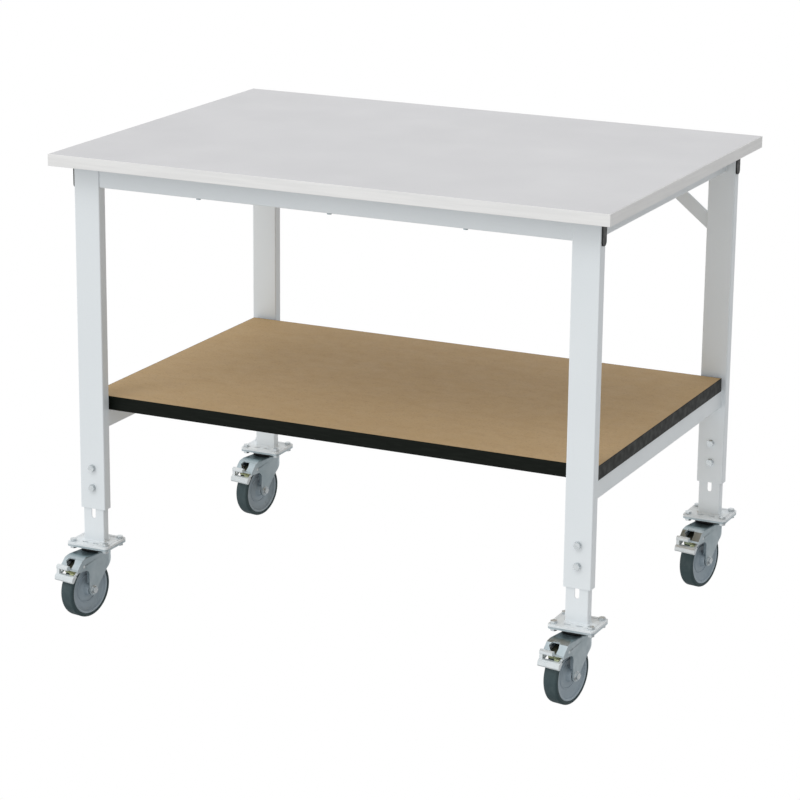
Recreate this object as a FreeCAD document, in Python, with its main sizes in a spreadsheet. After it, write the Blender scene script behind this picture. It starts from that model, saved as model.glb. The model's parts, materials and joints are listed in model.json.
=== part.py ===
"""Mobile workbench: a laminate worktop on a painted tube frame with a lower shelf.

Each leg is an outer tube with a slotted foot tube inside it, which two clamp bolts
hold at the working height. Every foot stands on a total-lock swivel caster.
Millimetres, +Z up, -Y is the front. The origin is on the floor, under the middle
of the whole envelope: the caster pedals stand out in front of the worktop.
"""
import FreeCAD, Part
import math
import os
import Sketcher

Vector = FreeCAD.Vector
doc = FreeCAD.newDocument("workbench")

SIZES = {
    # the worktop and where the bench stands
    "middle_back": 27.4,
    "bench_tall": 1010.0,
    "top_wide": 1250.0,
    "top_deep": 900.0,
    "top_thick": 25.0,
    "top_edging": 2.0,
    # outer legs
    "leg_x": 560.0,
    "leg_y": 392.5,
    "leg_wide": 60.0,
    "leg_deep": 25.0,
    "leg_wall": 2.0,
    "leg_base": 234.0,
    "tube_round": 2.5,
    # rails under the worktop, which run through windows in the legs
    "rail_deep": 20.0,
    "rail_tall": 46.0,
    "rail_wall": 2.0,
    "window_gap": 0.25,
    "cap_flange": 3.0,
    "cap_spigot": 12.0,
    "cap_wide": 20.5,
    "cap_tall": 51.0,
    "cap_inset": 0.5,
    "cap_round": 8.0,
    # rear corner braces
    "brace_thick": 6.0,
    "brace_far": 168.0,
    "brace_near": 122.0,
    "brace_low": 134.0,
    "brace_high": 97.0,
    # shelf
    "shelf_wide": 1165.0,
    "shelf_deep": 740.0,
    "shelf_thick": 30.0,
    "shelf_edging": 1.5,
    "shelf_top": 480.0,
    "bearer": 40.0,
    "bearer_wall": 2.0,
    # screws that hold the worktop and the shelf from below
    "screw_rad": 2.5,
    "screw_head_rad": 5.0,
    "screw_head_tall": 3.5,
    "screw_bite": 15.0,
    "top_screw_x": 300.0,
    "shelf_screw_y": 250.0,
    # foot tubes
    "foot_wide": 50.0,
    "foot_deep": 20.0,
    "foot_wall": 2.0,
    "foot_top": 480.0,
    "slot_wide": 9.5,
    "slot_back_wide": 32.0,
    "slot_low": 212.0,
    "slot_back_low": 175.0,
    "slot_high": 460.0,
    "clamp_low": 281.0,
    "clamp_pitch": 44.0,
    "clamp_rad": 4.0,
    "clamp_head": 5.5,
    "clamp_washer": 1.6,
    "clamp_nut": 6.5,
    "thread_out": 3.0,
    "hex_flats": 13.0,
    "washer_rad": 8.5,
    # leg plate and caster plate
    "plate_wide": 100.0,
    "plate_deep": 85.0,
    "plate_round": 8.0,
    "foot_plate_thick": 5.0,
    "plate_thick": 4.0,
    "plate_base": 151.5,
    "hole_x": 40.0,
    "hole_y": 30.0,
    "hole_rad": 4.2,
    "bolt_rad": 4.0,
    "plate_bolt_tip": 144.5,
    "plate_head": 5.5,
    "plate_nut": 6.2,
    "drain_x": 13.0,
    "drain_y": 24.0,
    "drain_long": 15.0,
    "drain_wide": 6.0,
    # swivel head
    "swivel_angle": -100.0,
    "race_rad": 30.0,
    "race_base": 146.6,
    "kingpin_rad": 9.0,
    "kingpin_head_rad": 15.0,
    "kingpin_head_base": 133.5,
    "kingpin_head_top": 138.4,
    # fork: a pressed hood with two cheeks
    "trail": 40.0,
    "fork_half": 25.0,
    "fork_gauge": 3.0,
    "fork_lead": 7.0,
    "fork_crown": 142.0,
    "fork_cup_rad": 32.0,
    "fork_cup_top": 146.0,
    "fork_hole_rad": 9.5,
    "fork_base": 44.5,
    "overcut": 2.0,
    "side_run": 5.0,
    "fork_end": 91.0,
    "fork_round": 5.0,
    "flange_back": 53.0,
    "flange_in": 17.2,
    "flange_low": 79.0,
    "flange_high": 109.0,
    "boss_rad": 13.0,
    # wheel
    "wheel_rad": 62.5,
    "tyre_half": 16.0,
    "tyre_thick": 7.5,
    "tyre_round": 5.0,
    "hub_half": 20.0,
    "hub_rad": 14.0,
    "axle_rad": 4.0,
    "axle_gap": 0.05,
    "axle_flange_rad": 8.0,
    "axle_flange": 1.5,
    "axle_head": 5.5,
    "axle_nut": 7.0,
    "axle_out": 9.0,
    # brake
    "pivot_x": 70.0,
    "pivot_z": 122.0,
    "pivot_rad": 3.0,
    "pivot_gap": 0.06,
    "pedal_half": 25.0,
    "arm_in": 17.5,
    "arm_out": 21.5,
    "shoe_in": 64.5,
    "shoe_out": 67.5,
    "shoe_half": 14.0,
    "shoe_start": 54.0,
    "shoe_end": 87.0,
    "shoe_low": 105.0,
    "tab_base": 127.0,
    "tab_inset": 4.0,
    "strap": 3.0,
    "tongue_in": 6.0,
    "tongue_out": 16.5,
    "tongue_end": 96.0,
    "tongue_base": 108.0,
    "knob_in": 5.0,
    "web_in": 17.5,
}

sheet = doc.addObject("Spreadsheet::Sheet", "Sizes")
for row, (alias, number) in enumerate(SIZES.items(), start=1):
    sheet.set("A%d" % row, alias)
    sheet.set("B%d" % row, str(number))
    sheet.setAlias("B%d" % row, alias)
doc.recompute()

# local points, all about the swivel axis with Z up from the floor: X trails behind
FORK_SIDE = [(-40, 142), (60, 142), (76, 136), (91, 119), (91, 112), (64, 112),
             (56, 108), (53, 101), (53, 62.5), (27, 62.5), (25, 68), (-3, 99),
             (-26, 118), (-33, 128), (-40, 132)]
FORK_HOLLOW = [(-40, 40), (-40, 139), (59.5, 139), (73.9, 133.8), (88.75, 117), (98, 106.5), (98, 40)]
# the hood's window, seen from above
HOOD_WINDOW = [(73, -11), (72, 4), (82, 7), (90.5, 6), (87, -9), (80, -17)]
PEDAL_TREAD = [(104, 93.5), (108, 94), (109.5, 97), (108.5, 104), (104, 107.5), (97, 108),
               (94.5, 105.5), (98.5, 101)]
PEDAL_ARM = [(64.5, 118), (66, 126), (72, 127), (82, 119), (88, 113), (92, 109.5), (97, 108),
             (94.5, 105.5), (90, 107), (76, 115)]
PEDAL_KNOB = [(93, 118), (95, 116.5), (101, 117), (103.5, 119.5), (103, 124.5), (98.5, 127), (94, 126)]
PEDAL_WEB = [(96, 106), (103, 105), (102, 120), (97, 120)]
# wheel centre profile: radius and distance along the axle
CORE_HALF = [(55, 14.5), (53, 15.5), (50, 14.5), (48.5, 10), (44, 6.5), (22, 5), (16, 8), (14, 20)]

CORNERS = {"front_left": (-1, -1), "front_right": (1, -1), "rear_left": (-1, 1), "rear_right": (1, 1)}

nodes = []


def size(text):
    """The expression for a size, with each sheet alias written out in full."""
    words = []
    word = ""
    for letter in str(text) + " ":
        if letter.isalnum() or letter in "_.":
            word += letter
            continue
        words.append("Sizes." + word if word in SIZES else word)
        words.append(letter)
        word = ""
    return "".join(words).strip()


def bind(thing, **values):
    for name, text in values.items():
        thing.setExpression(name, size(text))


def move(thing, place):
    for letter, text in zip("xyz", place):
        thing.setExpression("Placement.Base." + letter, size(text))


def block(name, wide, deep, tall, place):
    """A box given by its size and its lowest corner."""
    box = doc.addObject("Part::Box", name)
    bind(box, Length=wide, Width=deep, Height=tall)
    move(box, place)
    return box


def centred(name, wide, deep, low, high, place=("0", "0")):
    """A box about a vertical line, between two heights."""
    across, back = place
    return block(name, wide, deep, "(%s) - (%s)" % (high, low),
                 ("%s - (%s) / 2" % (across, wide), "%s - (%s) / 2" % (back, deep), low))


TURNS = {
    "z": FreeCAD.Rotation(),
    "y": FreeCAD.Rotation(Vector(1, 0, 0), -90),
    "x": FreeCAD.Rotation(Vector(0, 1, 0), 90),
}


def rod(name, radius, length, place, along="z"):
    """A cylinder that starts at place and runs along an axis."""
    cylinder = doc.addObject("Part::Cylinder", name)
    cylinder.Placement = FreeCAD.Placement(Vector(), TURNS[along])
    bind(cylinder, Radius=radius, Height=length)
    move(cylinder, place)
    return cylinder


def hexagon(name, flats, length, place, along="z"):
    """A hexagonal prism that starts at place and runs along an axis."""
    prism = doc.addObject("Part::Prism", name)
    prism.Polygon = 6
    prism.Placement = FreeCAD.Placement(Vector(), TURNS[along])
    bind(prism, Circumradius="(%s) / 2 / cos(30deg)" % flats, Height=length)
    move(prism, place)
    return prism


def fuse(name, pieces):
    whole = doc.addObject("Part::MultiFuse", name)
    whole.Shapes = pieces
    return whole


def cut(name, base, tools):
    remains = doc.addObject("Part::Cut", name)
    remains.Base = base
    remains.Tool = tools[0] if len(tools) == 1 else fuse(name + "_tools", tools)
    return remains


def group(name, pieces):
    """Separate solids that share one node."""
    whole = doc.addObject("Part::Compound", name)
    whole.Links = pieces
    return whole


def rounded(name, box, axis, radius):
    """A box with its four edges along one axis rounded."""
    pattern = Part.makeBox(1, 1, 1)
    edges = [number for number, edge in enumerate(pattern.Edges, start=1)
             if abs(getattr(edge.tangentAt(edge.FirstParameter), axis)) > 0.9]
    softened = doc.addObject("Part::Fillet", name)
    softened.Base = box
    softened.Edges = [(number, SIZES[radius], SIZES[radius]) for number in edges]
    return softened


def tube_along(name, axis, wide, tall, length, wall, place):
    """A rectangular tube. wide and tall are across its axis, in X, Y, Z order."""
    x, y, z = place
    inset = [text + " + (%s)" % wall for text in place]
    thin = ["(%s) - 2 * (%s)" % (text, wall) for text in (wide, tall)]
    if axis == "x":
        outer = block(name + "_outer", length, wide, tall, place)
        inner = block(name + "_inner", length, thin[0], thin[1], (x, inset[1], inset[2]))
    elif axis == "y":
        outer = block(name + "_outer", wide, length, tall, place)
        inner = block(name + "_inner", thin[0], length, thin[1], (inset[0], y, inset[2]))
    else:
        outer = block(name + "_outer", wide, tall, length, place)
        inner = block(name + "_inner", thin[0], thin[1], length, (inset[0], inset[1], z))
    return rounded(name + "_round", outer, axis, "tube_round"), inner


def plane_of(body, role):
    return [feature for feature in body.Origin.OriginFeatures if feature.Role == role][0]


def sketch_of(body, role, points):
    """A closed polygon on one of the body's own origin planes, each corner held by its size."""
    sketch = body.newObject("Sketcher::SketchObject", body.Name + "_sketch")
    sketch.AttachmentSupport = [(plane_of(body, role), "")]
    sketch.MapMode = "FlatFace"
    count = len(points)
    for number, (x, y) in enumerate(points):
        end_x, end_y = points[(number + 1) % count]
        sketch.addGeometry(Part.LineSegment(Vector(x, y, 0), Vector(end_x, end_y, 0)), False)
    for number, (x, y) in enumerate(points):
        sketch.addConstraint(Sketcher.Constraint("Coincident", number, 2, (number + 1) % count, 1))
        sketch.addConstraint(Sketcher.Constraint("DistanceX", -1, 1, number, 1, float(x)))
        sketch.addConstraint(Sketcher.Constraint("DistanceY", -1, 1, number, 1, float(y)))
    return sketch


def side_plate(name, points, width, middle="0"):
    """A plate with a side outline in X and Z, of a width centred on Y = middle."""
    body = doc.addObject("PartDesign::Body", name)
    sketch = sketch_of(body, "XZ_Plane", points)
    pad = body.newObject("PartDesign::Pad", name + "_pad")
    pad.Profile = sketch
    pad.SideType = "Symmetric"
    pad.setExpression("Length", size(width))
    body.setExpression("Placement.Base.y", size(middle))
    return body


def turned(name, points):
    """A ring or disc turned about Y from an outline of radius and distance along Y."""
    body = doc.addObject("PartDesign::Body", name)
    sketch = sketch_of(body, "XY_Plane", points)
    spin = body.newObject("PartDesign::Revolution", name + "_turn")
    spin.Profile = sketch
    spin.ReferenceAxis = (sketch, ["V_Axis"])
    spin.Angle = 360.0
    return body


def node(thing, label):
    """Registers a finished sub-part under the name of its file."""
    thing.Label = label
    nodes.append(thing)
    return thing


def at_corner(thing, corner, forward="0", up="0"):
    """Places a part of a swivelled caster, forward being its distance behind the swivel axis."""
    across, back = CORNERS[corner]
    turn = FreeCAD.Rotation(Vector(0, 0, 1), SIZES["swivel_angle"])
    thing.Placement = FreeCAD.Placement(Vector(), turn)
    move(thing, ("%d * leg_x + (%s) * cos(swivel_angle * 1deg)" % (across, forward),
                 "middle_back + %d * leg_y + (%s) * sin(swivel_angle * 1deg)" % (back, forward), up))


def at_leg(thing, corner):
    """Places a part that doesn't swivel on the leg's own centre line."""
    across, back = CORNERS[corner]
    move(thing, ("%d * leg_x" % across, "middle_back + %d * leg_y" % back, "0"))


# ---------------------------------------------------------------- worktop and shelf

TOP_BASE = "bench_tall - top_thick"
RAIL_BASE = "bench_tall - top_thick - rail_tall"
SHELF_BASE = "shelf_top - shelf_thick"
MIDDLE = ("0", "middle_back")


def top_screws(name, radius, low, high):
    """One cylinder for each screw through the front and rear rails."""
    rods = []
    for back in (-1, 1):
        for across in (-1, 0, 1):
            rods.append(rod("%s_%d" % (name, len(rods)), radius, "(%s) - (%s)" % (high, low),
                            ("%d * top_screw_x" % across, "middle_back + %d * leg_y" % back, low)))
    return rods


def shelf_screws(name, radius, low, high):
    """One cylinder for each screw through the shelf's side bearers."""
    rods = []
    for across in (-1, 1):
        for back in (-1, 1):
            rods.append(rod("%s_%d" % (name, len(rods)), radius, "(%s) - (%s)" % (high, low),
                            ("%d * leg_x" % across, "middle_back + %d * shelf_screw_y" % back, low)))
    return rods


def board(name, wide, deep, edging, low, high, holes):
    blank = centred(name + "_blank", "%s - 2 * %s" % (wide, edging), "%s - 2 * %s" % (deep, edging),
                    low, high, MIDDLE)
    return node(cut(name + "_cut", blank, holes), name)


def edge_band(name, wide, deep, edging, low, high):
    outer = centred(name + "_outer", wide, deep, low, high, MIDDLE)
    inner = centred(name + "_inner", "%s - 2 * %s" % (wide, edging), "%s - 2 * %s" % (deep, edging),
                    low, high, MIDDLE)
    return node(cut(name + "_cut", outer, [inner]), name)


def screw_set(name, maker, low, high):
    shanks = maker(name + "_shank", "screw_rad", low, high)
    heads = maker(name + "_head", "screw_head_rad", "%s - screw_head_tall" % low, low)
    screws = [fuse("%s_%d" % (name, number), list(pair)) for number, pair in enumerate(zip(shanks, heads))]
    return node(group(name + "_set", screws), name)


board("worktop_board", "top_wide", "top_deep", "top_edging", TOP_BASE, "bench_tall",
      top_screws("top_pilot", "screw_rad", TOP_BASE, TOP_BASE + " + screw_bite"))
edge_band("worktop_edging", "top_wide", "top_deep", "top_edging", TOP_BASE, "bench_tall")
screw_set("worktop_screws", top_screws, RAIL_BASE, TOP_BASE + " + screw_bite")

board("shelf_board", "shelf_wide", "shelf_deep", "shelf_edging", SHELF_BASE, "shelf_top",
      shelf_screws("shelf_pilot", "screw_rad", SHELF_BASE, SHELF_BASE + " + screw_bite"))
edge_band("shelf_edging", "shelf_wide", "shelf_deep", "shelf_edging", SHELF_BASE, "shelf_top")
screw_set("shelf_screws", shelf_screws, SHELF_BASE + " - bearer", SHELF_BASE + " + screw_bite")

# ---------------------------------------------------------------- frame


def cross_rail(name, back):
    """A rail through both legs of the front or the rear frame, with holes for the screws."""
    outer, inner = tube_along(name, "x", "rail_deep", "rail_tall", "2 * leg_x + leg_wide", "rail_wall",
                              ("-leg_x - leg_wide / 2", "middle_back + %d * leg_y - rail_deep / 2" % back,
                               RAIL_BASE))
    holes = [rod("%s_hole_%d" % (name, across), "screw_rad", "rail_tall",
                 ("%d * top_screw_x" % across, "middle_back + %d * leg_y" % back, RAIL_BASE))
             for across in (-1, 0, 1)]
    return node(cut(name + "_cut", outer, [inner] + holes), name)


def side_rail(name, side):
    """A rail under the worktop between the front and the rear leg of one side."""
    outer, inner = tube_along(name, "y", "rail_deep", "rail_tall", "2 * leg_y - leg_deep", "rail_wall",
                              ("%d * leg_x - rail_deep / 2" % side, "middle_back - leg_y + leg_deep / 2",
                               RAIL_BASE))
    return node(cut(name + "_cut", outer, [inner]), name)


def bearer(name, side):
    """A square tube under the shelf between the front and the rear leg of one side."""
    low = SHELF_BASE + " - bearer"
    outer, inner = tube_along(name, "y", "bearer", "bearer", "2 * leg_y - leg_deep", "bearer_wall",
                              ("%d * leg_x - bearer / 2" % side, "middle_back - leg_y + leg_deep / 2", low))
    holes = [rod("%s_hole_%d" % (name, back), "screw_rad", "bearer",
                 ("%d * leg_x" % side, "middle_back + %d * shelf_screw_y" % back, low)) for back in (-1, 1)]
    return node(cut(name + "_cut", outer, [inner] + holes), name)


def outer_leg(name, corner):
    """A leg tube with rail windows at its top and two clamp bolt holes through it."""
    outer, inner = tube_along(name, "z", "leg_wide", "leg_deep", TOP_BASE + " - leg_base", "leg_wall",
                              ("-leg_wide / 2", "-leg_deep / 2", "leg_base"))
    window = centred(name + "_window", "leg_wide", "rail_deep + 2 * window_gap",
                     RAIL_BASE + " - window_gap", TOP_BASE)
    bolts = [rod("%s_bolt_%d" % (name, number), "clamp_rad", "leg_deep",
                 ("0", "-leg_deep / 2", "clamp_low + %d * clamp_pitch" % number), "y") for number in (0, 1)]
    leg = node(cut(name + "_cut", outer, [inner, window] + bolts), name)
    at_leg(leg, corner)
    return leg


def rear_brace(name, side):
    """A flat gusset between a rear leg and the rear rail."""
    edge = SIZES["leg_x"] - SIZES["leg_wide"] / 2
    under = SIZES["bench_tall"] - SIZES["top_thick"] - SIZES["rail_tall"]
    points = [(edge - SIZES["brace_far"], under), (edge - SIZES["brace_near"], under),
              (edge, under - SIZES["brace_high"]), (edge, under - SIZES["brace_low"])]
    points = [(side * x, z) for x, z in points]
    return node(side_plate(name + "_plate", points, "brace_thick", "middle_back + leg_y"), name)


def rail_cap(name, corner):
    """A rounded plug: a flange on the leg's outer face and a spigot in the rail."""
    across, back = CORNERS[corner]
    flange = block(name + "_flange", "cap_flange", "cap_wide", "cap_tall",
                   ("leg_x + leg_wide / 2", "-cap_wide / 2", TOP_BASE + " - cap_inset - cap_tall"))
    ends = rounded(name + "_round", flange, "x", "cap_round")
    spigot = block(name + "_spigot", "cap_spigot", "rail_deep - 2 * rail_wall",
                   "rail_tall - 2 * rail_wall",
                   ("leg_x + leg_wide / 2 - cap_spigot", "-rail_deep / 2 + rail_wall",
                    RAIL_BASE + " + rail_wall"))
    cap = fuse(name, [ends, spigot])
    if across < 0:
        cap.Placement = FreeCAD.Placement(Vector(), FreeCAD.Rotation(Vector(0, 0, 1), 180))
    move(cap, ("0", "middle_back + %d * leg_y" % back, "0"))
    return cap


def clamp_bolt(name, corner, number):
    """A hex bolt with a washer on the leg's front face, through the leg and the foot's slots."""
    front = "-leg_deep / 2"
    height = "clamp_low + %d * clamp_pitch" % number
    shank = rod(name + "_shank", "clamp_rad", "leg_deep + clamp_nut + thread_out + clamp_washer",
                ("0", front + " - clamp_washer", height), "y")
    washer = rod(name + "_washer", "washer_rad", "clamp_washer",
                 ("0", front + " - clamp_washer", height), "y")
    head = hexagon(name + "_head", "hex_flats", "clamp_head",
                   ("0", front + " - clamp_washer - clamp_head", height), "y")
    bolt = fuse(name, [shank, washer, head])
    at_leg(bolt, corner)
    return bolt


def clamp_nut(name, corner, number):
    height = "clamp_low + %d * clamp_pitch" % number
    blank = hexagon(name + "_blank", "hex_flats", "clamp_nut", ("0", "leg_deep / 2", height), "y")
    bore = rod(name + "_bore", "clamp_rad", "clamp_nut", ("0", "leg_deep / 2", height), "y")
    nut = cut(name, blank, [bore])
    at_leg(nut, corner)
    return nut


cross_rail("front_rail", -1)
cross_rail("rear_rail", 1)
side_rail("left_top_rail", -1)
side_rail("right_top_rail", 1)
bearer("left_shelf_bearer", -1)
bearer("right_shelf_bearer", 1)
rear_brace("left_rear_brace", -1)
rear_brace("right_rear_brace", 1)
for corner in CORNERS:
    outer_leg("leg_" + corner, corner)
node(group("caps", [rail_cap("cap_" + corner, corner) for corner in CORNERS]), "rail_end_caps")
node(group("clamps", [clamp_bolt("clamp_%s_%d" % (corner, number), corner, number)
                      for corner in CORNERS for number in (0, 1)]), "clamp_bolts")
node(group("nuts", [clamp_nut("nut_%s_%d" % (corner, number), corner, number)
                    for corner in CORNERS for number in (0, 1)]), "clamp_nuts")

# ---------------------------------------------------------------- feet and casters

PLATE_TOP = "plate_base + plate_thick"
FOOT_BASE = "plate_base + plate_thick + foot_plate_thick"
SIGNS = [(-1, -1), (1, -1), (1, 1), (-1, 1)]


def plate_rods(name, radius, low, high):
    """One cylinder at each corner hole of the plates."""
    return [rod("%s_%d" % (name, number), radius, "(%s) - (%s)" % (high, low),
                ("%d * hole_x" % across, "%d * hole_y" % back, low))
            for number, (across, back) in enumerate(SIGNS)]


def drain_slots(name):
    """Two slotted holes in the foot plate, in front of the tube."""
    pieces = []
    straight = "drain_long - drain_wide"
    for side in (-1, 1):
        middle = "%d * drain_x" % side
        pieces.append(centred("%s_%d" % (name, side), straight, "drain_wide", PLATE_TOP, FOOT_BASE,
                              (middle, "-drain_y")))
        for end in (-1, 1):
            pieces.append(rod("%s_%d_%d" % (name, side, end), "drain_wide / 2", "foot_plate_thick",
                              ("%s + %d * (%s) / 2" % (middle, end, straight), "-drain_y", PLATE_TOP)))
    return pieces


def height_slot(name, wide, low, side):
    """A long slot in the foot tube's front (-1) or rear (1) wall, with round ends."""
    radius = "(%s) / 2" % wide
    depth = "foot_wall + overcut"
    front = "-foot_deep / 2 - overcut / 2" if side < 0 else "foot_deep / 2 - foot_wall - overcut / 2"
    middle = block(name + "_straight", wide, depth, "slot_high - (%s) - (%s)" % (low, wide),
                   ("-(%s) / 2" % wide, front, low + " + " + radius))
    ends = [rod("%s_%s" % (name, end), radius, depth, ("0", front, height), "y")
            for end, height in (("low", low + " + " + radius), ("high", "slot_high - " + radius))]
    return [middle] + ends


def foot(name, corner):
    """The slotted foot tube, welded to its plate."""
    outer, inner = tube_along(name, "z", "foot_wide", "foot_deep", "foot_top - (%s)" % FOOT_BASE,
                              "foot_wall", ("-foot_wide / 2", "-foot_deep / 2", FOOT_BASE))
    slots = height_slot(name + "_front", "slot_wide", "slot_low", -1)
    slots += height_slot(name + "_back", "slot_back_wide", "slot_back_low", 1)
    tube = cut(name + "_tube", outer, [inner] + slots)
    blank = centred(name + "_plate", "plate_wide", "plate_deep", PLATE_TOP, FOOT_BASE)
    holes = plate_rods(name + "_hole", "hole_rad", PLATE_TOP, FOOT_BASE) + drain_slots(name + "_drain")
    plate = cut(name + "_drilled", rounded(name + "_corners", blank, "z", "plate_round"), holes)
    whole = node(fuse(name + "_weld", [tube, plate]), name)
    at_leg(whole, corner)
    return whole


def caster_plate(name, corner):
    """The caster's top plate with its ball race housing and riveted kingpin."""
    blank = centred(name + "_blank", "plate_wide", "plate_deep", "plate_base", PLATE_TOP)
    drilled = cut(name + "_drilled", rounded(name + "_corners", blank, "z", "plate_round"),
                  plate_rods(name + "_hole", "hole_rad", "plate_base", PLATE_TOP))
    race = rod(name + "_race", "race_rad", "plate_base - race_base", ("0", "0", "race_base"))
    pin = rod(name + "_pin", "kingpin_rad", "race_base - kingpin_head_base",
              ("0", "0", "kingpin_head_base"))
    head = rod(name + "_head", "kingpin_head_rad", "kingpin_head_top - kingpin_head_base",
               ("0", "0", "kingpin_head_base"))
    whole = node(fuse(name + "_whole", [drilled, race, pin, head]), name)
    at_leg(whole, corner)
    return whole


def plate_bolts(name, corner):
    """Four bolts with their heads on the foot plate and their nuts under the caster plate."""
    shanks = plate_rods(name + "_shank", "bolt_rad", "plate_bolt_tip", FOOT_BASE)
    solids = []
    for number, (across, back) in enumerate(SIGNS):
        place = ("%d * hole_x" % across, "%d * hole_y" % back)
        head = hexagon("%s_head_%d" % (name, number), "hex_flats", "plate_head", place + (FOOT_BASE,))
        solids.append(fuse("%s_bolt_%d" % (name, number), [shanks[number], head]))
        blank = hexagon("%s_nut_%d" % (name, number), "hex_flats", "plate_nut",
                        place + ("plate_base - plate_nut",))
        bore = rod("%s_bore_%d" % (name, number), "bolt_rad", "plate_nut",
                   place + ("plate_base - plate_nut",))
        solids.append(cut("%s_nut_cut_%d" % (name, number), blank, [bore]))
    whole = node(group(name + "_set", solids), name)
    at_leg(whole, corner)
    return whole


def common(name, pieces):
    shared = doc.addObject("Part::MultiCommon", name)
    shared.Shapes = pieces
    return shared


def fork_plan(name, half, low, tall):
    """The fork seen from above, as a solid: a round nose and straight sides."""
    nose = rod(name + "_nose", half, tall, ("-fork_lead", "0", low))
    sides = block(name + "_sides", "fork_lead + fork_end + side_run", "2 * (%s)" % half, tall,
                  ("-fork_lead", "-(%s)" % half, low))
    plan = fuse(name, [nose, sides])
    plan.Refine = True
    return plan


def crown_round(name, plan):
    """Rounds the crown's upper edges, apart from the one at the open end."""
    doc.recompute()
    numbers = []
    for number, edge in enumerate(plan.Shape.Edges, start=1):
        box = edge.BoundBox
        at_crown = box.ZMin > SIZES["fork_crown"] - 0.01
        if at_crown and box.XMin < SIZES["fork_end"]:
            numbers.append(number)
    softened = doc.addObject("Part::Fillet", name)
    softened.Base = plan
    softened.Edges = [(number, SIZES["fork_round"], SIZES["fork_round"]) for number in numbers]
    return softened


def fork(name, corner):
    """A pressed fork: a rounded hood whose cheeks narrow down to the axle."""
    low = "fork_base"
    tall = "fork_crown - fork_base"
    wide = "2 * (fork_half + overcut)"
    side = "-fork_half - overcut"
    outside = crown_round(name + "_crown", fork_plan(name + "_outer", "fork_half", low, tall))
    boss = rod(name + "_boss", "boss_rad", wide, ("trail", side, "wheel_rad"), "y")
    profile = fuse(name + "_profile", [side_plate(name + "_side", FORK_SIDE, wide), boss])
    shell = common(name + "_shell", [outside, profile])
    cup = rod(name + "_cup", "fork_cup_rad", "fork_cup_top - fork_crown + fork_gauge",
              ("0", "0", "fork_crown - fork_gauge"))
    hollow = common(name + "_hollow", [fork_plan(name + "_inner", "fork_half - fork_gauge", low, tall),
                                       side_plate(name + "_roof", FORK_HOLLOW, wide)])
    tools = [
        hollow,
        rod(name + "_king", "fork_hole_rad", "fork_cup_top - fork_base", ("0", "0", "fork_base")),
        rod(name + "_axle", "axle_rad", wide, ("trail", side, "wheel_rad"), "y"),
        rod(name + "_pivot", "pivot_rad + pivot_gap", wide, ("pivot_x", side, "pivot_z"), "y"),
        hood_window(name + "_window"),
    ]
    pressing = cut(name + "_cut", fuse(name + "_solid", [shell, cup]), tools)
    flanges = [block("%s_flange_%s" % (name, word), "fork_gauge", "fork_half - flange_in",
                     "flange_high - flange_low", ("flange_back - fork_gauge", start, "flange_low"))
               for word, start in (("near", "-fork_half"), ("far", "flange_in"))]
    whole = node(fuse(name + "_whole", [pressing] + flanges), name)
    at_corner(whole, corner)
    return whole


def hood_window(name):
    """The opening in the hood's slope, cut straight down."""
    body = doc.addObject("PartDesign::Body", name)
    sketch = sketch_of(body, "XY_Plane", HOOD_WINDOW)
    pad = body.newObject("PartDesign::Pad", name + "_pad")
    pad.Profile = sketch
    pad.setExpression("Length", size("fork_crown"))
    body.setExpression("Placement.Base.z", size("tongue_base"))
    return body


def axle(name, corner):
    """The axle bolt with its head and its lock nut outside the cheeks."""
    shank = rod(name + "_shank", "axle_rad", "2 * fork_half + axle_out",
                ("0", "-fork_half - axle_out", "0"), "y")
    head = hexagon(name + "_head", "hex_flats", "axle_head", ("0", "fork_half", "0"), "y")
    flange = rod(name + "_flange", "axle_flange_rad", "axle_flange", ("0", "fork_half", "0"), "y")
    nut = hexagon(name + "_nut", "hex_flats", "axle_nut", ("0", "-fork_half - axle_nut", "0"), "y")
    whole = node(fuse(name + "_whole", [shank, head, flange, nut]), name)
    at_corner(whole, corner, "trail", "wheel_rad")
    return whole


def tyre(name, corner):
    """The tread ring, with rounded shoulders."""
    ring = rod(name + "_ring", "wheel_rad", "2 * tyre_half", ("0", "-tyre_half", "0"), "y")
    rounded = doc.addObject("Part::Fillet", name + "_round")
    rounded.Base = ring
    doc.recompute()
    rounded.Edges = [(number, SIZES["tyre_round"], SIZES["tyre_round"])
                     for number, edge in enumerate(ring.Shape.Edges, start=1)
                     if isinstance(edge.Curve, Part.Circle)]
    bore = rod(name + "_bore", "wheel_rad - tyre_thick", "2 * tyre_half", ("0", "-tyre_half", "0"), "y")
    whole = node(cut(name + "_cut", rounded, [bore]), name)
    at_corner(whole, corner, "trail", "wheel_rad")
    return whole


def wheel_core(name, corner):
    """The moulded wheel centre: a lipped rim, a dished web and a hub that runs on the axle."""
    bore = SIZES["axle_rad"] + SIZES["axle_gap"]
    near = CORE_HALF + [(bore, SIZES["hub_half"])]
    far = [(radius, -along) for radius, along in reversed(near)]
    whole = node(turned(name + "_body", near + far), name)
    at_corner(whole, corner, "trail", "wheel_rad")
    return whole


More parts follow.
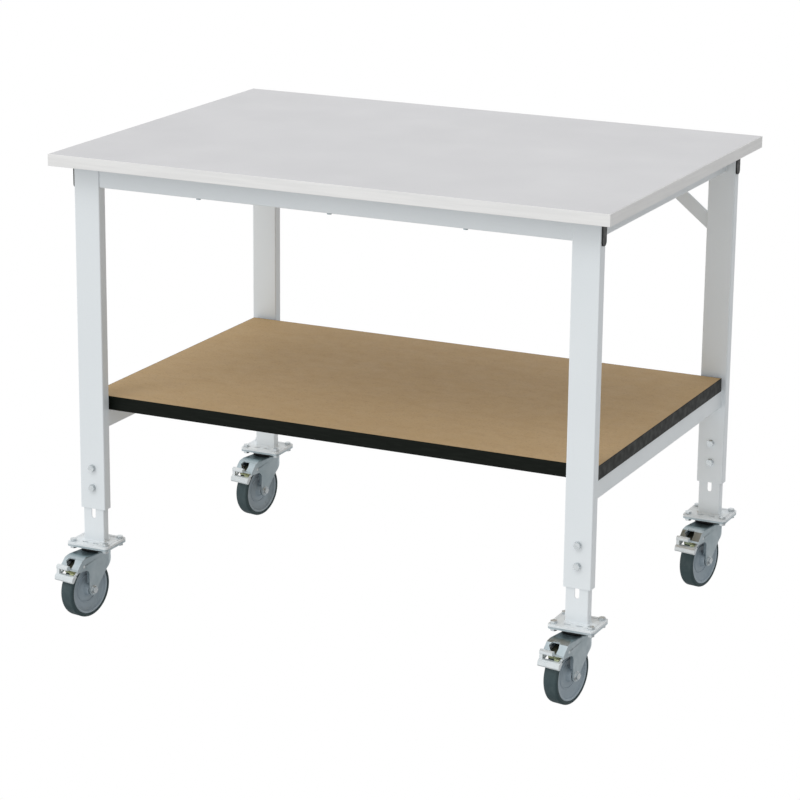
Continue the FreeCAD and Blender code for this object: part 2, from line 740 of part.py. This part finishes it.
def brake_bracket(name, corner):
    """The brake carrier: a strip curved over the tyre, with a tab up to the hood."""
    outer = rod(name + "_outer", "shoe_out", "2 * shoe_half", ("trail", "-shoe_half", "wheel_rad"), "y")
    inner = rod(name + "_inner", "shoe_in", "2 * shoe_half", ("trail", "-shoe_half", "wheel_rad"), "y")
    sector = block(name + "_sector", "shoe_end - shoe_start", "2 * shoe_half",
                   "fork_crown - shoe_low", ("shoe_start", "-shoe_half", "shoe_low"))
    strip = common(name + "_strip", [cut(name + "_arc", outer, [inner]), sector])
    tab = block(name + "_tab", "strap", "2 * (shoe_half - tab_inset)", "fork_crown - fork_gauge - tab_base",
                ("shoe_start", "-shoe_half + tab_inset", "tab_base"))
    tongue = block(name + "_tongue", "tongue_end - shoe_end + overcut", "tongue_out - tongue_in", "strap",
                   ("shoe_end - overcut", "tongue_in", "tongue_base"))
    whole = node(fuse(name + "_whole", [strip, tab, tongue]), name)
    at_corner(whole, corner)
    return whole


def pedal(name, corner):
    """The brake pedal: a wide lower tread and a release knob on two arms with pivot pins."""
    arm = "(arm_out - arm_in)"
    pieces = [side_plate(name + "_tread", PEDAL_TREAD, "2 * pedal_half"),
              side_plate(name + "_knob", PEDAL_KNOB, "pedal_half + knob_in", "(knob_in - pedal_half) / 2"),
              side_plate(name + "_web", PEDAL_WEB, "pedal_half - web_in", "-(pedal_half + web_in) / 2")]
    for side, word in ((-1, "near"), (1, "far")):
        pieces.append(side_plate("%s_arm_%s" % (name, word), PEDAL_ARM, arm,
                                 "%d * (arm_in + arm_out) / 2" % side))
        start = "arm_in" if side > 0 else "-fork_half"
        pieces.append(rod("%s_pin_%s" % (name, word), "pivot_rad", "fork_half - arm_in",
                          ("pivot_x", start, "pivot_z"), "y"))
    whole = node(fuse(name + "_whole", pieces), name)
    at_corner(whole, corner)
    return whole


for corner in CORNERS:
    foot("foot_" + corner, corner)
    caster_plate("caster_plate_" + corner, corner)
    plate_bolts("plate_bolts_" + corner, corner)
    fork("fork_" + corner, corner)
    axle("axle_" + corner, corner)
    brake_bracket("brake_bracket_" + corner, corner)
    wheel_core("wheel_core_" + corner, corner)
    tyre("tyre_" + corner, corner)
    pedal("pedal_" + corner, corner)

# ---------------------------------------------------------------- checks and files

doc.recompute()
for thing in doc.Objects:
    if "Invalid" in thing.State or "Error" in thing.State:
        raise RuntimeError("%s did not compute: %s" % (thing.Name, thing.State))
for thing in nodes:
    if thing.Shape.isNull() or not thing.Shape.isValid():
        raise RuntimeError("%s has no valid shape" % thing.Label)
    if not thing.Shape.Solids:
        raise RuntimeError("%s holds no solid" % thing.Label)

os.makedirs("parts", exist_ok=True)
for thing in nodes:
    thing.Shape.exportStep(os.path.join("parts", thing.Label + ".step"))
    box = thing.Shape.BoundBox
    print("%-28s %d solids %10.0f mm3  x %.1f..%.1f  y %.1f..%.1f  z %.1f..%.1f" % (
        thing.Label, len(thing.Shape.Solids), thing.Shape.Volume, box.XMin, box.XMax,
        box.YMin, box.YMax, box.ZMin, box.ZMax))
print(len(nodes), "nodes")
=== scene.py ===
"""Looks for the mobile workbench: materials, edge rounding, weld beads, caster detail and a studio."""
import bpy
import bmesh
import json
import math
from mathutils import Matrix, Vector


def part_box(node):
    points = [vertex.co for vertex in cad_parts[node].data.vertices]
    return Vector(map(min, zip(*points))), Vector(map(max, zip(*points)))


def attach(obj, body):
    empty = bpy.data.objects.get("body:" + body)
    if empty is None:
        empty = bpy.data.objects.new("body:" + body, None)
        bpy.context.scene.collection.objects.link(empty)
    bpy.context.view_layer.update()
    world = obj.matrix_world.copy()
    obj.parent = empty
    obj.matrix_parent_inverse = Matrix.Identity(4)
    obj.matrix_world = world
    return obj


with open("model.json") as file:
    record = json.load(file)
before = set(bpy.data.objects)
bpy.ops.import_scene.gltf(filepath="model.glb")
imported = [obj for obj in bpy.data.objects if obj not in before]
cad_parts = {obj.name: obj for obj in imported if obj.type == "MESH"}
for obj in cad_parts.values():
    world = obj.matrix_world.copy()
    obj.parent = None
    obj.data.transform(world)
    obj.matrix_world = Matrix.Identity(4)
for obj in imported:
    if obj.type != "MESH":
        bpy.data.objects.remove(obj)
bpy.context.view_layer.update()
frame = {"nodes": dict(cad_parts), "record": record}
NODES = frame["nodes"]
MM = 0.001
CORNERS = ("front_left", "front_right", "rear_left", "rear_right")
JOINTS = {joint["name"]: joint for joint in frame["record"]["behaviour"]["joints"]}


# ------------------------------------------------------------------ small helpers

def piece_from(bm, name, material, body):
    """Makes an object from a bmesh, gives it a finish and rides it on a body."""
    mesh = bpy.data.meshes.new(name)
    bm.to_mesh(mesh)
    bm.free()
    for face in mesh.polygons:
        face.use_smooth = True
    piece = bpy.data.objects.new(name, mesh)
    bpy.context.scene.collection.objects.link(piece)
    mesh.materials.append(material)
    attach(piece, body)


def ring_about(bm, centre, axis, outline, steps=72):
    """Turns a closed outline of (radius, height along the axis) about an axis."""
    turn = Vector((0, 0, 1)).rotation_difference(axis).to_matrix()
    rows = []
    for step in range(steps):
        angle = 2 * math.pi * step / steps
        spoke = Vector((math.cos(angle), math.sin(angle), 0))
        rows.append([bm.verts.new(centre + turn @ (spoke * radius + Vector((0, 0, height))))
                     for radius, height in outline])
    skin(bm, rows + rows[:1])


def skin(bm, rows):
    """Joins each closed row of points to the next."""
    for here, after in zip(rows, rows[1:]):
        count = len(here)
        for corner in range(count):
            following = (corner + 1) % count
            bm.faces.new((here[corner], after[corner], after[following], here[following]))
    bmesh.ops.recalc_face_normals(bm, faces=bm.faces)


# the spacing of a bead's rings in millimetres, then its mean size, its swell and how fast it ripples
BEAD_STEP = 1.1
BEAD_MEAN = 0.9
BEAD_SWELL = 0.13
BEAD_RIPPLE = 2.1
BEAD_TURNS = [math.pi * turn / 4 for turn in range(8)]


def bead(bm, corners, normal, radius, closed):
    """A rippled weld bead along straight runs between corners in one plane."""
    stops = corners + corners[:1] if closed else corners
    points = []
    for start, end in zip(stops, stops[1:]):
        count = max(2, round((end - start).length / (BEAD_STEP * MM)))
        points += [start.lerp(end, step / count) for step in range(count)]
    if not closed:
        points.append(stops[-1])
    rows = []
    for number, point in enumerate(points):
        if closed:
            along = points[(number + 1) % len(points)] - points[number - 1]
        else:
            along = points[min(number + 1, len(points) - 1)] - points[max(number - 1, 0)]
        side = along.normalized().cross(normal)
        swell = radius * MM * (BEAD_MEAN + BEAD_SWELL * math.sin(number * BEAD_RIPPLE))
        rows.append([bm.verts.new(point + (side * math.cos(turn) + normal * math.sin(turn)) * swell)
                     for turn in BEAD_TURNS])
    if closed:
        skin(bm, rows + rows[:1])
    else:
        skin(bm, rows)
        bm.faces.new(rows[0])
        bm.faces.new(rows[-1])
        bmesh.ops.recalc_face_normals(bm, faces=bm.faces)


def map_range(tree, value, before, after, kind="LINEAR"):
    """A node that maps the span before to the span after, clamped."""
    ramp = tree.nodes.new("ShaderNodeMapRange")
    ramp.interpolation_type = kind
    tree.links.new(value, ramp.inputs["Value"])
    for name, number in zip(("From Min", "From Max", "To Min", "To Max"), before + after):
        ramp.inputs[name].default_value = number
    return ramp.outputs["Result"]


# ------------------------------------------------------------------ node materials

class Finish:
    """A node material with a Principled shader and a few ways to add detail to it."""

    def __init__(self, name, colour, roughness, metallic=0.0):
        self.material = bpy.data.materials.new(name)
        self.material.use_nodes = True
        self.tree = self.material.node_tree
        self.shader = self.tree.nodes["Principled BSDF"]
        self.place = self.add("ShaderNodeTexCoord").outputs["Object"]
        self.shader.inputs["Metallic"].default_value = metallic
        self.shader.inputs["Roughness"].default_value = roughness
        self.colour = self.add("ShaderNodeRGB").outputs[0]
        self.colour.default_value = (*colour, 1)
        self.tree.links.new(self.colour, self.shader.inputs["Base Color"])
        self.normal = None

    def add(self, kind):
        return self.tree.nodes.new(kind)

    def join(self, output, socket):
        self.tree.links.new(output, socket)

    def noise(self, scale, detail=3.0, roughness=0.5, stretch=(1, 1, 1)):
        mapping = self.add("ShaderNodeMapping")
        mapping.inputs["Scale"].default_value = stretch
        self.join(self.place, mapping.inputs["Vector"])
        noise = self.add("ShaderNodeTexNoise")
        noise.inputs["Scale"].default_value = scale
        noise.inputs["Detail"].default_value = detail
        noise.inputs["Roughness"].default_value = roughness
        self.join(mapping.outputs[0], noise.inputs["Vector"])
        return noise.outputs["Fac"]

    def height(self):
        """The height above the floor, in metres."""
        split = self.add("ShaderNodeSeparateXYZ")
        self.join(self.place, split.inputs[0])
        return split.outputs["Z"]

    def product(self, first, second):
        """Two values multiplied."""
        multiply = self.add("ShaderNodeMath")
        multiply.operation = "MULTIPLY"
        self.join(first, multiply.inputs[0])
        self.join(second, multiply.inputs[1])
        return multiply.outputs[0]

    def spread(self, value, low, high, out_low=0.0, out_high=1.0):
        """Maps a value from low..high to out_low..out_high, clamped."""
        return map_range(self.tree, value, (low, high), (out_low, out_high))

    def tint(self, mask, colour, amount=1.0):
        """Mixes a colour over the base where the mask is 1."""
        mix = self.add("ShaderNodeMix")
        mix.data_type = "RGBA"
        scaled = self.spread(mask, 0.0, 1.0, 0.0, amount)
        self.join(scaled, mix.inputs["Factor"])
        self.join(self.colour, mix.inputs["A"])
        mix.inputs["B"].default_value = (*colour, 1)
        self.colour = mix.outputs["Result"]
        self.join(self.colour, self.shader.inputs["Base Color"])

    def rough(self, value, low, high):
        """Roughness that follows a value between two limits."""
        self.join(self.spread(value, 0.3, 0.7, low, high), self.shader.inputs["Roughness"])

    def bump(self, value, depth, strength=1.0):
        """Adds relief, depth in metres."""
        node = self.add("ShaderNodeBump")
        node.inputs["Strength"].default_value = strength
        node.inputs["Distance"].default_value = depth
        self.join(value, node.inputs["Height"])
        if self.normal:
            self.join(self.normal, node.inputs["Normal"])
        self.normal = node.outputs["Normal"]
        self.join(self.normal, self.shader.inputs["Normal"])

    def edge_highlight(self, colour, radius, amount):
        """A painted edge highlight: a lighter or darker tone where the surface turns sharply."""
        bevel = self.add("ShaderNodeBevel")
        bevel.inputs["Radius"].default_value = radius
        geometry = self.add("ShaderNodeNewGeometry")
        dot = self.add("ShaderNodeVectorMath")
        dot.operation = "DOT_PRODUCT"
        self.join(bevel.outputs["Normal"], dot.inputs[0])
        self.join(geometry.outputs["Normal"], dot.inputs[1])
        self.tint(self.spread(dot.outputs["Value"], 0.98, 0.80), colour, amount)


def laminate():
    finish = Finish("worktop_laminate", (0.56, 0.56, 0.575), 0.42)
    finish.tint(finish.spread(finish.noise(2.2, 2), 0.35, 0.65), (0.60, 0.60, 0.615), 0.6)
    finish.tint(finish.spread(finish.noise(1400, 1), 0.55, 0.75), (0.40, 0.40, 0.42), 0.35)
    finish.tint(finish.spread(finish.noise(900, 1), 0.60, 0.78), (0.74, 0.74, 0.75), 0.35)
    finish.rough(finish.noise(6, 3), 0.36, 0.48)
    finish.bump(finish.noise(1800, 2), 0.00006, 0.5)
    return finish.material


def edge_band():
    finish = Finish("worktop_edge_band", (0.79, 0.79, 0.785), 0.5)
    streaks = finish.noise(40, 3, stretch=(0.2, 0.2, 4))
    finish.tint(finish.spread(streaks, 0.4, 0.65), (0.86, 0.86, 0.85), 0.6)
    finish.rough(finish.noise(60, 2), 0.42, 0.56)
    finish.bump(finish.noise(1200, 2), 0.00005, 0.5)
    return finish.material


def fibreboard():
    finish = Finish("shelf_fibreboard", (0.49, 0.335, 0.165), 0.8)
    finish.tint(finish.spread(finish.noise(1.6, 3), 0.35, 0.68), (0.55, 0.385, 0.205), 0.55)
    finish.tint(finish.spread(finish.noise(26, 4, 0.6, (1, 2.5, 1)), 0.42, 0.68), (0.42, 0.275, 0.13), 0.30)
    finish.tint(finish.spread(finish.noise(520, 2, 0.6, (0.4, 1, 1)), 0.56, 0.72), (0.22, 0.14, 0.07), 0.45)
    finish.tint(finish.spread(finish.noise(760, 2, 0.6, (1, 0.4, 1)), 0.58, 0.74), (0.66, 0.50, 0.31), 0.40)
    finish.rough(finish.noise(30, 3), 0.72, 0.88)
    finish.bump(finish.noise(650, 3), 0.00012, 0.6)
    return finish.material


def dark_band():
    finish = Finish("shelf_edge_band", (0.004, 0.006, 0.004), 0.6)
    finish.shader.inputs["Specular IOR Level"].default_value = 0.1
    streaks = finish.noise(90, 3, stretch=(0.3, 0.3, 3))
    finish.tint(finish.spread(streaks, 0.45, 0.7), (0.010, 0.013, 0.010), 0.5)
    finish.rough(finish.noise(70, 2), 0.38, 0.55)
    finish.bump(finish.noise(900, 2), 0.00008, 0.5)
    return finish.material


def powder_coat():
    finish = Finish("powder_coat", (0.755, 0.80, 0.825), 0.38)
    finish.tint(finish.spread(finish.noise(4.5, 3), 0.35, 0.7), (0.795, 0.835, 0.855), 0.6)
    finish.tint(finish.spread(finish.noise(420, 2), 0.60, 0.78), (0.66, 0.69, 0.70), 0.25)
    # painted highlight: a lighter tone along the sharp edges
    finish.edge_highlight((0.86, 0.87, 0.88), 0.0015, 0.5)
    finish.rough(finish.noise(35, 3), 0.32, 0.44)
    finish.bump(finish.noise(380, 2), 0.00012, 0.35)
    return finish.material


def black_plastic():
    finish = Finish("black_plastic", (0.007, 0.008, 0.009), 0.45)
    finish.shader.inputs["Specular IOR Level"].default_value = 0.3
    finish.tint(finish.spread(finish.noise(240, 3), 0.5, 0.72), (0.02, 0.021, 0.023), 0.5)
    finish.rough(finish.noise(90, 2), 0.36, 0.52)
    finish.bump(finish.noise(1500, 2), 0.00008, 0.5)
    return finish.material


def zinc():
    finish = Finish("zinc_plate", (0.40, 0.47, 0.50), 0.4, 0.85)
    finish.tint(finish.spread(finish.noise(38, 4), 0.38, 0.66), (0.52, 0.58, 0.61), 0.7)
    finish.tint(finish.spread(finish.noise(9, 3), 0.5, 0.72), (0.30, 0.38, 0.41), 0.45)
    # painted shade: the hood top just under the swivel plate, 138.5 to 147.5 mm up, darkened to deep teal
    above = finish.spread(finish.height(), 0.1385, 0.1415)
    below = finish.spread(finish.height(), 0.1475, 0.1465)
    finish.tint(finish.product(above, below), (0.13, 0.20, 0.22), 0.75)
    # painted highlight: a lighter tone along the sharp edges
    finish.edge_highlight((0.72, 0.76, 0.78), 0.0012, 0.7)
    finish.rough(finish.noise(75, 4), 0.30, 0.50)
    finish.bump(finish.noise(420, 3), 0.00010, 0.4)
    return finish.material


def bright_zinc():
    finish = Finish("bright_zinc", (0.58, 0.62, 0.64), 0.26, 0.85)
    finish.tint(finish.spread(finish.noise(160, 3), 0.45, 0.7), (0.74, 0.77, 0.78), 0.6)
    # painted highlight: a near-white tone along the sharp edges
    finish.edge_highlight((0.93, 0.94, 0.94), 0.0008, 0.6)
    finish.rough(finish.noise(220, 3), 0.20, 0.36)
    finish.bump(finish.noise(900, 2), 0.00006, 0.4)
    return finish.material


def yellow_zinc():
    finish = Finish("yellow_zinc", (0.52, 0.54, 0.28), 0.38, 0.75)
    finish.tint(finish.spread(finish.noise(60, 3), 0.4, 0.65), (0.50, 0.62, 0.46), 0.6)
    finish.tint(finish.spread(finish.noise(110, 3), 0.5, 0.7), (0.72, 0.60, 0.34), 0.5)
    # painted shade: the bracket above 111.5 mm, inside the hood, turned near black
    finish.tint(finish.spread(finish.height(), 0.1115, 0.1135), (0.03, 0.032, 0.03), 0.92)
    finish.rough(finish.noise(150, 3), 0.28, 0.46)
    finish.bump(finish.noise(800, 2), 0.00006, 0.4)
    return finish.material


def wheel_plastic():
    finish = Finish("wheel_plastic", (0.34, 0.41, 0.46), 0.46)
    finish.tint(finish.spread(finish.noise(22, 3), 0.4, 0.7), (0.40, 0.47, 0.52), 0.6)
    # painted highlight: a lighter tone along the sharp edges
    finish.edge_highlight((0.56, 0.60, 0.63), 0.0016, 0.6)
    finish.rough(finish.noise(60, 3), 0.38, 0.54)
    finish.bump(finish.noise(1100, 2), 0.00008, 0.5)
    return finish.material


def tyre_rubber():
    finish = Finish("tyre_rubber", (0.026, 0.052, 0.058), 0.62)
    finish.tint(finish.spread(finish.noise(45, 4), 0.45, 0.72), (0.055, 0.085, 0.09), 0.5)
    finish.tint(finish.spread(finish.noise(700, 2), 0.60, 0.76), (0.10, 0.12, 0.12), 0.3)
    finish.rough(finish.noise(80, 3), 0.52, 0.72)
    finish.bump(finish.noise(900, 3), 0.00012, 0.6)
    return finish.material


def pedal_plate():
    finish = Finish("pedal_plate", (0.66, 0.71, 0.73), 0.34, 0.35)
    finish.tint(finish.spread(finish.noise(50, 3), 0.4, 0.7), (0.78, 0.81, 0.82), 0.6)
    # painted highlight: a lighter tone along the sharp edges
    finish.edge_highlight((0.90, 0.91, 0.92), 0.0012, 0.6)
    finish.rough(finish.noise(110, 3), 0.28, 0.42)
    finish.bump(finish.noise(700, 2), 0.00008, 0.4)
    return finish.material


FINISHES = {
    "laminate": laminate(),
    "edging_light": edge_band(),
    "fibreboard": fibreboard(),
    "edging_dark": dark_band(),
    "powder_coat": powder_coat(),
    "black_plastic": black_plastic(),
    "zinc": zinc(),
    "zinc_bright": bright_zinc(),
    "yellow_zinc": yellow_zinc(),
    "wheel_plastic": wheel_plastic(),
    "tyre_rubber": tyre_rubber(),
    "pedal_plate": pedal_plate(),
}

# ------------------------------------------------------------------ the CAD nodes

# the width of the rounding on sharp edges, in millimetres
ROUNDING = {
    "laminate": 0.3,
    "edging_light": 0.8,
    "fibreboard": 0.3,
    "edging_dark": 0.8,
    "powder_coat": 0.5,
    "black_plastic": 0.8,
    "zinc": 0.8,
    "zinc_bright": 0.5,
    "yellow_zinc": 0.3,
    "wheel_plastic": 0.6,
    "tyre_rubber": 0.0,
    "pedal_plate": 1.2,
}
MERGE_WITHIN = 0.01
SHARP_ANGLE = math.radians(40)


def soften(piece, width):
    """Rounds a piece's sharp edges a little, so that they catch the light."""
    weld = piece.modifiers.new("weld", "WELD")
    weld.merge_threshold = MERGE_WITHIN * MM
    if width:
        bevel = piece.modifiers.new("soft_edges", "BEVEL")
        bevel.width = width * MM
        bevel.segments = 2
        bevel.limit_method = "ANGLE"
        bevel.angle_limit = SHARP_ANGLE
        bevel.harden_normals = True
    normals = piece.modifiers.new("normals", "WEIGHTED_NORMAL")
    normals.keep_sharp = True


for entry in frame["record"]["subparts"]:
    node = NODES[entry["node"]]
    node.data.materials.clear()
    node.data.materials.append(FINISHES[entry["material_slot"]])
    for face in node.data.polygons:
        face.material_index = 0
    soften(node, ROUNDING[entry["material_slot"]])

# ------------------------------------------------------------------ weld beads

BEARER_BEAD = 1.7
RAIL_BEAD = 1.4
FOOT_BEAD = 1.9
FOOT_TUBE_HALF = Vector((25, 10))
FOOT_PLATE = 5.0


def weld(name, runs, body):
    """One piece of weld beads. A run is its corners, its normal, its radius and whether it closes."""
    bm = bmesh.new()
    for corners, normal, radius, closed in runs:
        bead(bm, corners, normal, radius, closed)
    piece_from(bm, name, FINISHES["powder_coat"], body)


def tube_end_runs(node, radius, closed):
    """Beads round both ends of a tube that runs along Y."""
    low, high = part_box(node)
    runs = []
    for end in (low.y, high.y):
        corners = [Vector((low.x, end, high.z)), Vector((low.x, end, low.z)),
                   Vector((high.x, end, low.z)), Vector((high.x, end, high.z))]
        runs.append((corners, Vector((0, 1, 0)), radius, closed))
    return runs


for side in ("left", "right"):
    weld("bearer_welds_" + side, tube_end_runs(side + "_shelf_bearer", BEARER_BEAD, True), "root")
    weld("rail_welds_" + side, tube_end_runs(side + "_top_rail", RAIL_BEAD, False), "root")

for corner in CORNERS:
    low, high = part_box("foot_" + corner)
    centre = (low + high) / 2
    loop = [Vector((centre.x + across * FOOT_TUBE_HALF.x * MM,
                    centre.y + back * FOOT_TUBE_HALF.y * MM,
                    low.z + FOOT_PLATE * MM))
            for across, back in ((-1, -1), (1, -1), (1, 1), (-1, 1))]
    weld("foot_welds_" + corner, [(loop, Vector((0, 0, 1)), FOOT_BEAD, True)], "foot_%s_body" % corner)

# ------------------------------------------------------------------ caster detail

# outlines of radius and height, in millimetres, from each joint's own centre
# the seal and the skirt are black rings in the gap under the swivel plate: dust seals, made black as
# painted shade for the deep shadow there
SHADE_SEAL = [(29.8, 1.3), (31.2, 1.5), (31.4, 3.2), (31.2, 4.6), (29.8, 4.8)]
SHADE_SKIRT = [(31.9, -3.8), (33.3, -3.8), (33.6, -1.0), (33.0, 2.2), (31.9, 2.4)]
RACE_LIP = [(29.9, 4.7), (33.2, 4.5), (33.6, 4.9), (33.4, 5.6), (29.9, 5.6)]
WHEEL_RIDGE = [(28.6, 4.9), (29.4, 6.7), (30.4, 7.1), (31.4, 6.8), (32.4, 5.1)]
AXLE_WASHER = [(7.4, 24.9), (7.4, 26.0), (9.4, 25.9), (9.7, 25.5), (9.7, 24.9)]


def rings(name, joint, outline, finish, body, both_sides=False):
    """Turned detail about a joint's axis, on one side of its centre or on both."""
    centre = Vector(JOINTS[joint]["pos_m"])
    axis = Vector(JOINTS[joint]["axis"])
    bm = bmesh.new()
    for side in (1, -1) if both_sides else (1,):
        ring_about(bm, centre, axis, [(radius * MM, side * height * MM) for radius, height in outline])
    piece_from(bm, name, FINISHES[finish], body)


for corner in CORNERS:
    # black seal and skirt rings: dust seals that also paint the shade under the swivel plate
    rings("shade_seal_" + corner, "caster_swivel_" + corner, SHADE_SEAL, "black_plastic", "foot_%s_body" % corner)
    rings("shade_skirt_" + corner, "caster_swivel_" + corner, SHADE_SKIRT, "black_plastic", "swivel_" + corner)
    rings("race_lip_" + corner, "caster_swivel_" + corner, RACE_LIP, "zinc_bright", "foot_%s_body" % corner)
    rings("wheel_ridge_" + corner, "wheel_spin_" + corner, WHEEL_RIDGE, "wheel_plastic",
          "wheel_" + corner, both_sides=True)
    rings("axle_washer_" + corner, "wheel_spin_" + corner, AXLE_WASHER, "zinc_bright",
          "swivel_" + corner, both_sides=True)

# ------------------------------------------------------------------ studio

CAMERA_PLACE = Vector((2.550, -5.428, 2.173))
CAMERA_AZIMUTH = math.radians(25.26)
CAMERA_DOWN = math.radians(15.99)
CAMERA_ROLL = math.radians(0.59)
CAMERA_LENS = 129.8
CAMERA_SENSOR = 36
FAR_LIMIT = 100


def studio_camera():
    data = bpy.data.cameras.new("camera")
    data.lens = CAMERA_LENS
    data.sensor_width = CAMERA_SENSOR
    data.clip_end = FAR_LIMIT
    camera = bpy.data.objects.new("camera", data)
    camera.location = CAMERA_PLACE
    spin = Matrix.Rotation(CAMERA_AZIMUTH, 4, "Z") @ Matrix.Rotation(math.pi / 2 - CAMERA_DOWN, 4, "X")
    camera.matrix_world = Matrix.Translation(CAMERA_PLACE) @ spin @ Matrix.Rotation(CAMERA_ROLL, 4, "Z")
    bpy.context.scene.collection.objects.link(camera)
    bpy.context.scene.camera = camera


SUN_DIRECTION = Vector((0.22, 0.58, -0.78))
SUN_SPREAD = math.radians(28)
SUN_STRENGTH = 0.5


def soft_sun():
    """A broad, even light from the front left, high up."""
    data = bpy.data.lights.new("key", "SUN")
    data.energy = SUN_STRENGTH
    data.angle = SUN_SPREAD
    light = bpy.data.objects.new("key", data)
    light.rotation_euler = SUN_DIRECTION.to_track_quat("-Z", "Y").to_euler()
    bpy.context.scene.collection.objects.link(light)


# where the room darkens: the span of a direction's height or of its part to the right, then its strength
BELOW = ((-0.85, -0.45), (0.30, 1.0))
RIGHT = ((0.15, 0.85), (1.0, 0.50))


def studio_world():
    """A white room without a floor, so lowered feet stay in sight: darker below and to the right."""
    world = bpy.data.worlds.new("studio")
    world.use_nodes = True
    tree = world.node_tree
    split = tree.nodes.new("ShaderNodeSeparateXYZ")
    tree.links.new(tree.nodes.new("ShaderNodeTexCoord").outputs["Generated"], split.inputs[0])
    below = map_range(tree, split.outputs["Z"], *BELOW, "SMOOTHSTEP")
    right = map_range(tree, split.outputs["X"], *RIGHT, "SMOOTHSTEP")
    both = tree.nodes.new("ShaderNodeMath")
    both.operation = "MULTIPLY"
    tree.links.new(below, both.inputs[0])
    tree.links.new(right, both.inputs[1])
    tree.nodes["Background"].inputs["Color"].default_value = (1, 1, 1, 1)
    tree.links.new(both.outputs[0], tree.nodes["Background"].inputs["Strength"])
    bpy.context.scene.world = world
    bpy.context.scene.view_settings.view_transform = "Standard"


studio_camera()
studio_world()
soft_sun()
